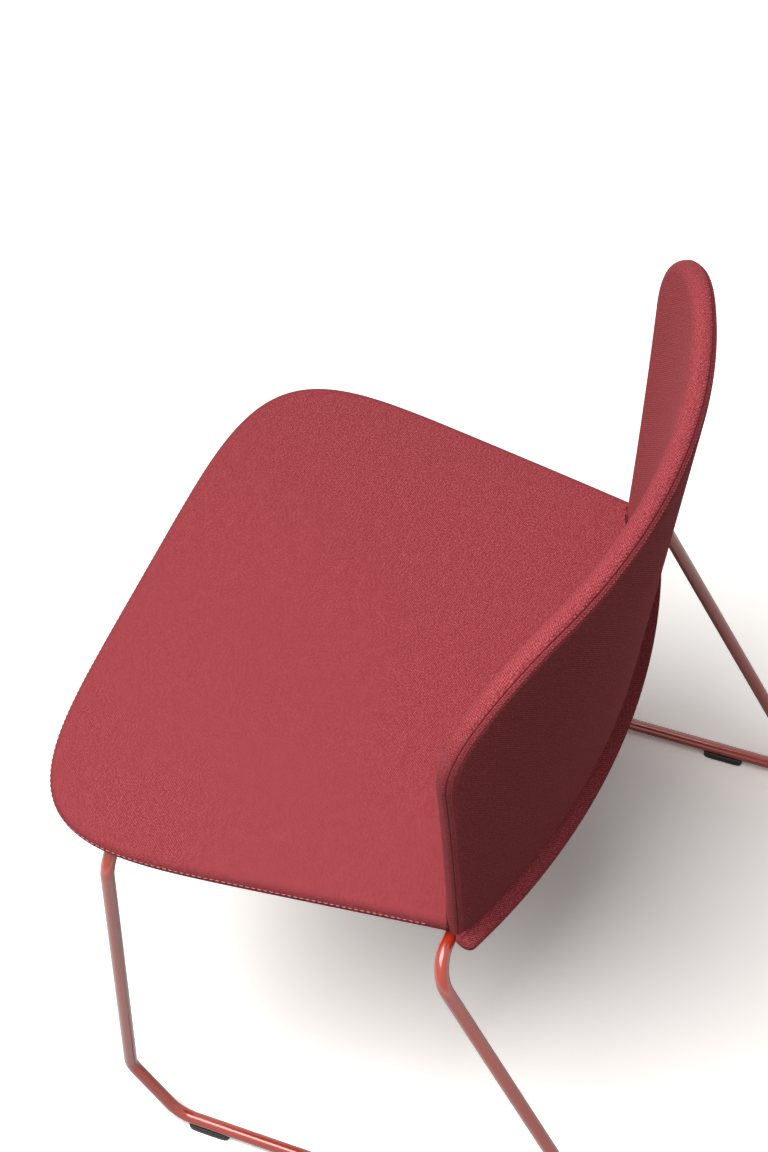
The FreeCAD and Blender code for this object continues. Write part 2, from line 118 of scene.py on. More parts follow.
class RodSettings(PropertyGroup):
    diameter: length_setting("Diameter", "Diameter of the round rod", 0.012)
    bend_radius: length_setting("Bend Radius", "Radius of each bend at the rod's centre line", 0.028)
    leg_top_half: length_setting("Leg Spread", "Half the distance between the legs' upper ends", 0.259)
    runner_front: length_setting("Runner Front", "Front end of the runner", -0.1676)
    runner_rear: length_setting("Runner Rear", "Rear end of the runner", 0.2724)
    chamfer_run: length_setting("Chamfer Run", "Length of the chamfer along the floor", 0.0407)
    chamfer_rise: length_setting("Chamfer Rise", "Height of the chamfer", 0.068)
    front_stub: length_setting("Front Stub", "Place of the front stub along the seat", -0.17715)
    rear_stub: length_setting("Rear Stub", "Place of the rear stub along the seat", 0.11132)
    stub_drop: length_setting(
        "Stub Drop", "Centre line of the stubs below the seat's underside", 0.0105)


class ColourSettings(PropertyGroup):
    fabric: colour_setting("Twill", "Colour of the woven wool", "#A03E45")
    fabric_light: colour_setting("Twill Highlights", "Colour of the raised yarns", "#C06A6C")
    thread: colour_setting("Thread", "Colour of the thread at the back's rim", "#AE5058")
    seat_thread: colour_setting("Seat Thread", "Colour of the thread along the seat's edge", "#DC9090")
    lacquer: colour_setting("Lacquer", "Colour of the rod's lacquer", "#C0381C")
    glides: colour_setting("Glides", "Colour of the plastic glides", "#1B1B1D")


class StudioSettings(PropertyGroup):
    camera_place: FloatVectorProperty(
        name="Camera", description="Where the camera stands",
        default=(1.16578, 0.59467, 2.20836), subtype="TRANSLATION", unit="LENGTH")
    azimuth: angle_setting(
        "Azimuth", "Camera's bearing from the rear, towards the sitter's left", 61.918)
    elevation: angle_setting("Elevation", "Camera's height angle", 51.513)
    roll: angle_setting("Roll", "Turn of the picture about the line of sight", 7.471)
    lens: FloatProperty(
        name="Lens", description="Focal length in millimetres on a 36 mm frame height",
        default=81.17)


# Mesh building

def linear(code):
    """An sRGB hex colour as linear red, green, blue and alpha."""
    parts = [int(code[start:start + 2], 16) / 255 for start in (1, 3, 5)]
    return tuple(p / 12.92 if p <= 0.04045 else ((p + 0.055) / 1.055) ** 2.4 for p in parts) + (1.0,)


def smoothstep(value):
    """Three times the square less twice the cube: an even step from nought to one."""
    value = np.clip(value, 0.0, 1.0)
    return value * value * (3 - 2 * value)


def evenly(points, count):
    """A closed line sampled at equal steps of its length."""
    ring = np.vstack([points, points[:1]])
    steps = np.linalg.norm(np.diff(ring, axis=0), axis=1)
    along = np.concatenate([[0.0], np.cumsum(steps)])
    wanted = np.linspace(0.0, along[-1], count, endpoint=False)
    return np.stack([np.interp(wanted, along, ring[:, axis]) for axis in range(ring.shape[1])], axis=1)


def outward(points):
    """Unit normals of a closed plane line that runs anticlockwise."""
    along = np.roll(points, -1, 0) - np.roll(points, 1, 0)
    normal = np.stack([along[:, 1], -along[:, 0]], axis=1)
    return normal / np.linalg.norm(normal, axis=1)[:, None]


def grid_faces(rows, columns, wrap_rows, wrap_columns=False):
    """Quads of a grid whose rows, and columns, may close on themselves."""
    row = np.arange(rows if wrap_rows else rows - 1)
    column = np.arange(columns if wrap_columns else columns - 1)
    row, column = np.meshgrid(row, column, indexing="ij")
    next_row = (row + 1) % rows
    next_column = (column + 1) % columns
    corners = [row * columns + column, next_row * columns + column,
               next_row * columns + next_column, row * columns + next_column]
    return np.stack([corner.ravel() for corner in corners], axis=1)


def make_piece(name, vertices, faces, material, weave=None, merge=0.0):
    """A smooth mesh object; weave holds each vertex's place on the cloth in metres."""
    mesh = bpy.data.meshes.new(name)
    mesh.from_pydata(vertices.reshape(-1, 3).tolist(), [], faces.tolist())
    if weave is not None:
        layer = mesh.uv_layers.new(name="weave")
        corners = np.empty(len(mesh.loops), dtype=np.int32)
        mesh.loops.foreach_get("vertex_index", corners)
        layer.data.foreach_set("uv", weave.reshape(-1, 2)[corners].astype(np.float32).ravel())
    mesh.polygons.foreach_set("use_smooth", np.ones(len(mesh.polygons), dtype=bool))
    if merge:
        work = bmesh.new()
        work.from_mesh(mesh)
        bmesh.ops.remove_doubles(work, verts=work.verts, dist=merge)
        bmesh.ops.recalc_face_normals(work, faces=work.faces)
        work.to_mesh(mesh)
        work.free()
    mesh.materials.append(material)
    mesh.update()
    piece = bpy.data.objects.new(name, mesh)
    bpy.context.scene.collection.objects.link(piece)
    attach(piece, BODY)
    return piece


def pad_rings(outline, insets, inner_steps):
    """Rings from a closed outline inwards.

    The outline is a function of its inset that keeps each point's place in the row. Rings within
    the deepest inset lie on straight lines between the outermost and that one, the rest between
    it and its centre.
    """
    outer = outline(0.0)
    deepest = max(insets)
    inner = outline(deepest)
    rings = [outer + (inner - outer) * inset / deepest for inset in insets]
    centre = inner.mean(axis=0)
    for step in range(1, inner_steps + 1):
        rings.append(inner + (centre - inner) * step / inner_steps)
    return np.stack(rings, axis=1)


# Shape of the seat

FRONT_STEPS = 361
SIDE_STEPS = 54
REAR_STEPS = 199
CROWN_HALF = 0.262
CROWN_REAR = 0.15


def seat_half_width(y):
    """Half the seat's width, which draws in evenly to the rear."""
    shape = bpy.context.scene.chair_seat
    return shape.half_width - shape.taper * y


def back_plan_radius(z):
    """Radius of the back's plan circle: half chord squared plus depth squared over twice the depth."""
    depth = back_curve_depth(z)
    return (bpy.context.scene.chair_back.low_half ** 2 + depth ** 2) / (2 * depth)


def back_curve_depth(z):
    """Depth of the plan curve, which grows evenly with height."""
    shape = bpy.context.scene.chair_back
    rise = (z - shape.level_z) / shape.height
    return shape.low_curve + (shape.high_curve - shape.low_curve) * rise


def back_middle(x, z):
    """Depth y of the back's middle surface: a leaning row of plan circles."""
    shape = bpy.context.scene.chair_back
    rise = (z - shape.level_z) / shape.height
    radius = back_plan_radius(z)
    crest = shape.side_y + shape.lean * rise + back_curve_depth(z)
    return crest - radius + np.sqrt(np.maximum(radius ** 2 - x ** 2, 0))


def back_point(x, z, offset):
    """Point at an offset from the back's middle surface, along its normal to the rear."""
    step = 1e-4
    slope_x = (back_middle(x + step, z) - back_middle(x - step, z)) / (2 * step)
    slope_z = (back_middle(x, z + step) - back_middle(x, z - step)) / (2 * step)
    normal = np.stack([-slope_x, np.ones_like(slope_x), -slope_z], axis=-1)
    normal /= np.linalg.norm(normal, axis=-1)[..., None]
    place = np.stack([x, back_middle(x, z), z], axis=-1)
    return place + normal * np.asarray(offset)[..., None]


def seat_outline(inset=0.0):
    """Plan of the seat, anticlockwise from above: superellipse front, straight sides, curved rear.

    The front is the curve on which the powers of x over the half width and of y over the corner
    length add up to one, taken at even angles. Towards its ends the rear follows the roundness of
    the back's rim, straightened so that no inset folds over.
    """
    shape = bpy.context.scene.chair_seat
    back = bpy.context.scene.chair_back
    turn = np.linspace(0, math.pi, FRONT_STEPS)
    power = shape.corner_power
    reach = (np.abs(np.cos(turn)) ** power + np.abs(np.sin(turn)) ** power) ** (-1 / power)
    length = shape.corner_length - inset
    front_y = shape.front_y + shape.corner_length - length * reach * np.sin(turn)
    front_x = -(seat_half_width(front_y) - inset) * reach * np.cos(turn)
    corner_x = seat_half_width(back.side_y - 6 * MM) - inset
    share = np.linspace(1, -1, REAR_STEPS)
    rear_x = corner_x * (0.6 * share + 0.4 * np.sin(share * math.pi / 2))
    half = back.thickness / 2
    gap = 0.4 * MM
    tuck = 7 * MM
    first, last = 0.3, 0.95
    rounding = np.clip((np.abs(rear_x) + inset - back.low_half) / half + 1, first, last)
    offset = -half + tuck * (rounding - first) / 0.65 - gap - inset
    rear = back_point(rear_x, np.full(REAR_STEPS, back.level_z + 3 * MM), offset)
    rear[:, 0] *= corner_x / rear[0, 0]
    side_y = np.linspace(front_y[-1], rear[0, 1], SIDE_STEPS + 2)[1:-1]
    side_x = seat_half_width(side_y) - inset
    side_x += (corner_x - side_x[-1]) * smoothstep(np.linspace(-4, 1, SIDE_STEPS))
    return np.vstack([
        np.stack([front_x, front_y], axis=1), np.stack([side_x, side_y], axis=1),
        rear[:, :2], np.stack([-side_x, side_y], axis=1)[::-1]])


def seat_frame_to_world(x, y, z):
    """Tilts points of the seat's level frame about the crest of its front edge."""
    shape = bpy.context.scene.chair_seat
    along = y - shape.front_y
    up = z - shape.front_z
    cosine = math.cos(shape.tilt)
    sine = math.sin(shape.tilt)
    return np.stack([x, shape.front_y + along * cosine + up * sine,
                     shape.front_z - along * sine + up * cosine], axis=-1)


def seat_crown(x, y):
    """Rise of the pad: a crown that falls off as a cube to each edge."""
    shape = bpy.context.scene.chair_seat
    across = np.clip(np.abs(x) / CROWN_HALF, 0, 1)
    middle = (shape.front_y + CROWN_REAR) / 2
    along = np.clip(np.abs(y - middle) / (CROWN_REAR - middle), 0, 1)
    return shape.crown * (1 - across ** 3) * (1 - along ** 3)


def upholstered_seat(material):
    """Top cover: from the seam up round the edge by a superellipse, then over the crown."""
    shape = bpy.context.scene.chair_seat
    bottom = shape.front_z - shape.thickness
    hem = bottom + shape.seam_height + 0.35 * MM
    turn = np.linspace(0, math.pi / 2, 15)
    radius = shape.edge_radius
    curl_inset = np.array([2.4, 1.0, 0.35, 0.08]) * MM
    curl_height = np.array([0.15, 0.0, 0.25, 0.8]) * MM + hem
    edge_inset = radius * (1 - np.cos(turn) ** 0.9)
    edge_height = shape.front_z - radius + radius * np.sin(turn) ** 0.9
    wider = np.array([13, 18, 24, 32]) * MM
    insets = np.concatenate([curl_inset, edge_inset, wider])
    heights = np.concatenate([curl_height, edge_height, np.full(len(wider), shape.front_z)])
    inner_steps = 34
    rings = pad_rings(seat_outline, insets, inner_steps)
    height = np.concatenate([heights, np.full(inner_steps, shape.front_z)])
    x, y = rings[..., 0], rings[..., 1]
    # the edge's rounding stops where the pad meets the back
    place = np.arange(len(x)) - FRONT_STEPS - SIDE_STEPS
    blend_steps = 9
    behind = smoothstep(np.minimum(place, REAR_STEPS - 1 - place) / blend_steps)[:, None]
    height = height + (shape.front_z - height) * behind
    z = height + seat_crown(x, y) * smoothstep((height - hem) / radius)
    points = seat_frame_to_world(x, y, z)
    weave = rings + outward(seat_outline())[:, None] * (shape.front_z - height)[..., None]
    faces = grid_faces(rings.shape[0], rings.shape[1], True)
    piece = make_piece("upholstered_seat", points, faces, material, weave, merge=0.02 * MM)
    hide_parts("seat_cover", "seat_foam")
    return piece


def seat_underside(material):
    """Underside cover: a tray that turns up to the seam, its lower edge a quarter circle."""
    shape = bpy.context.scene.chair_seat
    bottom = shape.front_z - shape.thickness
    hem = 3 * MM
    turn = np.linspace(0, math.pi / 2, 9)
    lip_inset = np.array([2.2, 1.2, 0.9]) * MM
    lip_height = np.array([-0.3, -0.3, -0.8]) * MM + bottom + shape.seam_height
    insets = np.concatenate([lip_inset, 0.8 * MM + hem * (1 - np.cos(turn)), [12 * MM]])
    heights = np.concatenate([lip_height, bottom + hem * (1 - np.sin(turn)), [bottom]])
    inner_steps = 8
    rings = pad_rings(seat_outline, insets, inner_steps)
    height = np.concatenate([heights, np.full(inner_steps, bottom)])
    x, y = rings[..., 0], rings[..., 1]
    points = seat_frame_to_world(x, y, np.broadcast_to(height, x.shape))
    faces = grid_faces(rings.shape[0], rings.shape[1], True)[:, ::-1]
    weave = rings + outward(seat_outline())[:, None] * (height[None, :, None] - bottom)
    piece = make_piece("seat_underside", points, faces, material, weave, merge=0.02 * MM)
    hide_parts("seat_underside_cover")
    return piece


# Shape of the back

def back_outline(inset=0.0):
    """Front view of the back, anticlockwise from the front: a flared shape with round corners.

    Each corner is an arc about a centre set in from both its sides by the radius, and the top is
    raised by a bow that falls off as the square of x.
    """
    shape = bpy.context.scene.chair_back
    foot_z = shape.level_z - shape.drop
    shoulder_z = shape.level_z + shape.height - shape.top_bow
    slope = (shape.high_half - shape.low_half) / (shoulder_z - shape.level_z)
    foot_half = shape.low_half - slope * shape.drop
    corners = [(-foot_half, foot_z, shape.foot_radius), (foot_half, foot_z, shape.foot_radius),
               (shape.high_half, shoulder_z, shape.corner_radius),
               (-shape.high_half, shoulder_z, shape.corner_radius)]
    points = []
    for index, (x, z, radius) in enumerate(corners):
        corner = np.array([x, z])
        before = np.array(corners[index - 1][:2]) - corner
        after = np.array(corners[(index + 1) % 4][:2]) - corner
        before /= np.linalg.norm(before)
        after /= np.linalg.norm(after)
        half_angle = math.acos(before @ after) / 2
        bisector = (before + after) / np.linalg.norm(before + after)
        corner = corner + bisector * inset / math.sin(half_angle)
        radius = max(radius - inset, 1 * MM)
        centre = corner + bisector * radius / math.sin(half_angle)
        start = corner + before * radius / math.tan(half_angle) - centre
        turn = np.linspace(0, math.pi - 2 * half_angle, 25 if index < 2 else 61)
        points.append(centre + np.stack([start[0] * np.cos(turn) - start[1] * np.sin(turn),
                                         start[0] * np.sin(turn) + start[1] * np.cos(turn)], axis=1))
    edges = []
    for index, arc_points in enumerate(points):
        leave = arc_points[-1]
        meet = points[(index + 1) % 4][0]
        share = np.linspace(0, 1, 151)[1:-1, None]
        edges += [arc_points, leave + (meet - leave) * share]
    outline = np.vstack(edges)
    rise = np.clip((outline[:, 1] - shape.level_z) / (shoulder_z - shape.level_z), 0, 1)
    bow = 1 - (outline[:, 0] / shape.high_half) ** 2
    outline[:, 1] += shape.top_bow * bow * rise ** 6
    return outline


RIM_POWER = 2.2
FRONT_RIM = 9.6 * MM
REAR_RIM = 9.0 * MM


def rim_profile(offset, radius):
    """Inset at an offset across the rim: the rim is an ellipse-like round of the pad's thickness."""
    shape = bpy.context.scene.chair_back
    half = shape.thickness / 2
    return radius * (1 - np.sqrt(np.maximum(1 - (np.abs(offset) / half) ** RIM_POWER, 0)))


def back_surface(insets, offsets, inner_steps):
    """Rings of the back from its rim inwards, each at its own offset from the middle surface."""
    rings = pad_rings(back_outline, insets, inner_steps)
    x, z = rings[..., 0], rings[..., 1]
    offset = np.broadcast_to(np.concatenate([offsets, np.full(inner_steps, offsets[-1])]), x.shape)
    return back_point(x, z, offset), x, z, offset


def upholstered_back(material):
    """Front cover: from the seam over the rim by a superellipse and across the inner face."""
    shape = bpy.context.scene.chair_back
    half = shape.thickness / 2
    turn = np.linspace(math.asin((shape.seam_offset - 0.15 * MM) / half), -math.pi / 2, 26)
    offsets = half * np.sin(turn)
    insets = rim_profile(offsets, FRONT_RIM)
    curl_offset = np.array([0.1, 0.45, 0.25]) * MM + offsets[0]
    curl_inset = np.array([3.0, 1.1, 0.45]) * MM + insets[0]
    offsets = np.concatenate([curl_offset, offsets, np.full(4, -half)])
    insets = np.concatenate([curl_inset, insets, np.array([13, 18, 24, 30]) * MM])
    insets[3] += 0.12 * MM
    points, x, z, offset = back_surface(insets, offsets, 34)
    faces = grid_faces(points.shape[0], points.shape[1], True)
    weave = np.stack([x, z], axis=-1) + outward(back_outline())[:, None] * (offset + half)[..., None]
    piece = make_piece("upholstered_back", points, faces, material, weave, merge=0.02 * MM)
    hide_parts("back_cover", "back_foam_front", "back_edge_roll")
    return piece


def back_rear_panel(material):
    """Rear panel: from the seam round the rear of the rim and flat across the shell."""
    shape = bpy.context.scene.chair_back
    half = shape.thickness / 2
    turn = np.linspace(math.asin((shape.seam_offset + 0.45 * MM) / half), math.pi / 2, 16)
    offsets = half * np.sin(turn)
    insets = rim_profile(offsets, REAR_RIM) + 0.35 * MM
    curl_offset = np.array([-0.1, -0.35, -0.2]) * MM + offsets[0]
    curl_inset = np.array([3.0, 1.1, 0.45]) * MM + insets[0]
    offsets = np.concatenate([curl_offset, offsets, np.full(4, half)])
    insets = np.concatenate([curl_inset, insets, np.array([13, 18, 24, 30]) * MM])
    points, x, z, offset = back_surface(insets, offsets, 34)
    faces = grid_faces(points.shape[0], points.shape[1], True)[:, ::-1]
    weave = np.stack([x, z], axis=-1) + outward(back_outline())[:, None] * (half - offset)[..., None]
    piece = make_piece("back_panel", points, faces, material, weave, merge=0.02 * MM)
    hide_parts("back_rear_panel", "back_foam_rear")
    return piece


def rear_band(material):
    """Band behind the back: a closed section carried along the plan curve.

    Its outer side swells by a smooth step from the panel to its fullest height, then tucks in
    towards the foot. Both ends close by an ellipse.
    """
    shape = bpy.context.scene.chair_back
    low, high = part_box("rear_band")
    bottom = low[2] + 4 * MM
    height = high[2] - bottom
    half = shape.thickness / 2
    rise = np.linspace(0, 1, 30)
    fullest = 0.38
    tuck = 0.22
    depth = 11.0 * MM
    fall = np.clip((1 - rise) / 0.62, 0, 1)
    swell = smoothstep(fall) * (1 - tuck * np.clip((fullest - rise) / fullest, 0, 1) ** 2)
    outer_offset = half + 0.15 * MM + depth * swell
    front_offset = 3.8 * MM
    roll = np.linspace(0, 1, 10)[1:-1]
    under_offset = outer_offset[0] + (front_offset - outer_offset[0]) * roll
    under_z = bottom + 0.4 * MM - 2.2 * MM * np.sin(math.pi * roll)
    section_offset = np.concatenate([outer_offset, [half - 2 * MM, half - 2 * MM, front_offset],
                                     under_offset[::-1]])
    section_z = np.concatenate([bottom + height * rise, [bottom + height * 0.98],
                                [bottom + 14 * MM], [bottom + 13.2 * MM], under_z[::-1]])
    section = np.stack([section_offset, section_z], axis=1)
    length = np.linalg.norm(np.diff(section, axis=0, prepend=section[:1]), axis=1).cumsum()
    reach = (shape.low_half + 0.2 * MM) * np.sin(np.linspace(-1, 1, 321) * math.pi / 2)
    closing = 8 * MM
    past = np.clip((np.abs(reach) - reach.max() + closing) / closing, 0, 1)
    close = np.sqrt(np.maximum(1 - past ** 2, 1e-6))[:, None]
    middle_offset = front_offset + 4 * MM
    middle_z = bottom + height * 0.55
    offset = middle_offset + (section_offset[None, :] - middle_offset) * close
    z = middle_z + (section_z[None, :] - middle_z) * close
    x = np.broadcast_to(reach[:, None], z.shape)
    points = back_point(x, z, offset)
    faces = grid_faces(points.shape[0], points.shape[1], False, True)
    weave = np.stack([x, np.broadcast_to(length, x.shape)], axis=-1)
    piece = make_piece("rear_band_cover", points, faces, material, weave, merge=0.01 * MM)
    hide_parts("rear_band")
    return piece


# Shape of the frame

def bent_line(corners, radius, step):
    """Straight runs joined by tangent arcs of one radius, with points along each arc."""
    corners = np.array(corners)
    points = [corners[0]]
    for before, corner, after in zip(corners, corners[1:], corners[2:]):
        come = (before - corner) / np.linalg.norm(before - corner)
        go = (after - corner) / np.linalg.norm(after - corner)
        half_angle = math.acos(come @ go) / 2
        bisector = (come + go) / np.linalg.norm(come + go)
        centre = corner + bisector * radius / math.sin(half_angle)
        start = corner + come * radius / math.tan(half_angle) - centre
        end = corner + go * radius / math.tan(half_angle) - centre
        sweep = math.pi - 2 * half_angle
        turn = np.linspace(0, 1, max(int(sweep * radius / step), 4))[:, None]
        points.extend(centre + (start * np.sin((1 - turn) * sweep) + end * np.sin(turn * sweep))
                      / math.sin(sweep))
    points.append(corners[-1])
    return np.array(points)


def closed_tube(points, side, up, radius, sides):
    """Circles of one radius along a line, each in the plane of its side and up directions."""
    angle = np.arange(sides) * 2 * math.pi / sides
    ring = side[:, None] * np.cos(angle)[None, :, None] + up[:, None] * np.sin(angle)[None, :, None]
    walls = points[:, None] + ring * radius
    ends = np.repeat(points[[0, -1]][:, None], sides, axis=1)
    return np.concatenate([ends[:1], walls, ends[1:]])


def tube(points, radius, sides):
    """A circle carried along a line; its frame is handed on from point to point without twist."""
    forward = np.gradient(points, axis=0)
    forward /= np.linalg.norm(forward, axis=1)[:, None]
    side = np.empty_like(points)
    side[0] = np.cross(forward[0], (0.0, 1.0, 0.0))
    for index in range(1, len(points)):
        side[index] = side[index - 1] - forward[index] * (side[index - 1] @ forward[index])
        side[index] /= np.linalg.norm(side[index])
    return closed_tube(points, side, np.cross(forward, side), radius, sides)


def sled_rod(side, material):
    """One sled side: a 12 mm rod bent over six corners, rebuilt smooth over its CAD node."""
    name = "left_sled_rod" if side > 0 else "right_sled_rod"
    low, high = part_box("left_sled_rod")
    shape = bpy.context.scene.chair_rod
    seat = bpy.context.scene.chair_seat
    radius = shape.diameter / 2
    runner_x = high[0] - radius
    runner_z = low[2] + radius
    drop = -seat.thickness - shape.stub_drop
    stubs = [seat_frame_to_world(0.0, y, seat.front_z + drop)
             for y in (shape.front_stub, shape.rear_stub)]
    lean = (shape.leg_top_half - runner_x) / (stubs[0][2] - runner_z)
    chamfer_x = runner_x + lean * shape.chamfer_rise
    corners = [(low[0], stubs[0][1], stubs[0][2]), (shape.leg_top_half, stubs[0][1], stubs[0][2]),
               (chamfer_x, shape.runner_front - shape.chamfer_run, runner_z + shape.chamfer_rise),
               (runner_x, shape.runner_front, runner_z), (runner_x, shape.runner_rear, runner_z),
               (shape.leg_top_half, stubs[1][1], stubs[1][2]), (low[0], stubs[1][1], stubs[1][2])]
    line = bent_line(corners, shape.bend_radius, 1.2 * MM)
    line[:, 0] *= side
    sides = 40
    walls = tube(line, radius, sides)
    piece = make_piece(name.replace("sled_rod", "sled_side"), walls,
                       grid_faces(walls.shape[0], sides, False, True), material, merge=0.005 * MM)
    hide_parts(name)
    return piece


def glide(name, material):
    """A low shoe under the runner: a superellipse plan whose edge rounds over to a saddle."""
    low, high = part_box(name)
    shape = bpy.context.scene.chair_rod
    radius = shape.diameter / 2
    rod_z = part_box("left_sled_rod")[0][2] + radius
    middle = [(low[axis] + high[axis]) / 2 for axis in range(2)]
    half_x, half_y = 7.6 * MM, (high[1] - low[1]) / 2
    turn = np.linspace(0, 2 * math.pi, 97)[:-1]
    reach = (np.abs(np.cos(turn)) ** 6 + np.abs(np.sin(turn)) ** 6) ** (-1 / 6)
    inset = np.array([3.0, 0.9, 0.2, 0.0, 0.0, 0.35, 1.2, 2.4, 4.2, 6.2, 7.4]) * MM
    height = np.array([0.0, 0.0, 0.3, 1.0, 7.0, 8.1, 8.6, 8.6, 8.6, 8.6, 8.6]) * MM
    x = (half_x - inset[None, :]) * (reach * np.cos(turn))[:, None]
    y = (half_y - inset[None, :]) * (reach * np.sin(turn))[:, None]
    saddle = rod_z - np.sqrt(np.maximum((radius + 0.1 * MM) ** 2 - x ** 2, 0))
    inside = (np.abs(x) < radius) & (height[None, :] > 8.2 * MM)
    z = np.where(inside, np.minimum(saddle, height[None, :]), height[None, :])
    points = np.stack([middle[0] + x, middle[1] + y, z], axis=-1)
    centres = np.stack([np.full(2, middle[0]), np.full(2, middle[1]), [0, z[:, -1].min()]], axis=-1)
    bottom = np.broadcast_to(centres[0], (len(turn), 1, 3))
    top = np.broadcast_to(centres[1], (len(turn), 1, 3))
    points = np.concatenate([bottom, points, top], axis=1)
    piece = make_piece(name + "_shoe", points,
                       grid_faces(points.shape[0], points.shape[1], True), material, merge=0.01 * MM)
    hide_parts(name)
    return piece


# Sewing

def stitch_row(name, points, normals, pitch, length, radius, material):
    """Stitches along a line: short round-ended threads, each an arched tube between two holes."""
    steps = np.linalg.norm(np.diff(points, axis=0), axis=1)
    along = np.concatenate([[0.0], np.cumsum(steps)])
    count = int(along[-1] / pitch)
    centre = (np.arange(count) + 0.5) * pitch
    rings = 7
    sides = 6
    across = np.linspace(-1, 1, rings)
    angle = np.arange(sides) * 2 * math.pi / sides
    stretch = centre[:, None] + across[None, :] * length / 2
    place = np.stack([np.interp(stretch, along, points[:, axis]) for axis in range(3)], axis=-1)
    up = np.stack([np.interp(stretch, along, normals[:, axis]) for axis in range(3)], axis=-1)
    up /= np.linalg.norm(up, axis=-1)[..., None]
    forward = np.gradient(place, axis=1)
    forward /= np.linalg.norm(forward, axis=-1)[..., None]
    side = np.cross(forward, up)
    girth = radius * np.sqrt(np.maximum(1 - across ** 4, 0.02))
    arch = radius * (1.2 * (1 - across ** 2) - 0.7)
    ring = (side[:, :, None, :] * np.cos(angle)[None, None, :, None]
            + up[:, :, None, :] * np.sin(angle)[None, None, :, None])
    points_out = (place + up * arch[None, :, None])[:, :, None, :] + ring * girth[None, :, None, None]
    single = grid_faces(rings, sides, False, True)
    start = np.arange(count)[:, None, None] * rings * sides
    faces = (single[None, :, :] + start).reshape(-1, 4)
    piece = make_piece(name, points_out, faces, material)
    return piece


def rim_line(offset, lift, keep):
    """A line round the back's rim at an offset, with the surface's outward direction."""
    outline = evenly(back_outline(), OUTLINE_POINTS)
    inset = rim_profile(np.array([offset]), FRONT_RIM)[0]
    out2d = outward(outline)
    inner = outline - out2d * inset
    on_rim = back_point(inner[:, 0], inner[:, 1], np.full(len(inner), offset))
    lower = inner - out2d * 2 * MM
    core = back_point(lower[:, 0], lower[:, 1], np.zeros(len(inner)))
    normal = on_rim - core
    normal /= np.linalg.norm(normal, axis=1)[:, None]
    wanted = keep(inner)
    start = int(np.argmax(wanted & ~np.roll(wanted, 1)))
    order = np.roll(np.arange(len(inner)), -start)
    order = order[wanted[order]]
    return on_rim[order] + normal[order] * lift, normal[order]


def seam_cord(name, points, normals, radius, material):
    """A thin round strand sunk in the seam."""
    sides = 8
    forward = np.gradient(points, axis=0)
    forward /= np.linalg.norm(forward, axis=1)[:, None]
    walls = closed_tube(points, np.cross(forward, normals), normals, radius, sides)
    piece = make_piece(name, walls, grid_faces(walls.shape[0], sides, False, True),
                       material, merge=0.005 * MM)
    return piece


# Materials

def add_node(tree, kind, inputs=None, **settings):
    """Adds a node, sets its properties, and links or sets its inputs."""
    new = tree.nodes.new(kind)
    for name, value in settings.items():
        setattr(new, name, value)
    for name, value in (inputs or {}).items():
        if isinstance(value, bpy.types.NodeSocket):
            tree.links.new(value, new.inputs[name])
        else:
            new.inputs[name].default_value = value
    return new


def new_material(name):
    """An empty node material with its shader and output joined."""
    material = bpy.data.materials.new(name)
    material.use_nodes = True
    tree = material.node_tree
    tree.nodes.clear()
    shader = add_node(tree, "ShaderNodeBsdfPrincipled")
    add_node(tree, "ShaderNodeOutputMaterial", {"Surface": shader.outputs["BSDF"]})
    return material, tree, shader


def object_noise(tree, scale, detail):
    """Noise over the object's own coordinates."""
    place = add_node(tree, "ShaderNodeTexCoord")
    return add_node(tree, "ShaderNodeTexNoise", {
        "Vector": place.outputs["Object"], "Scale": scale, "Detail": detail})


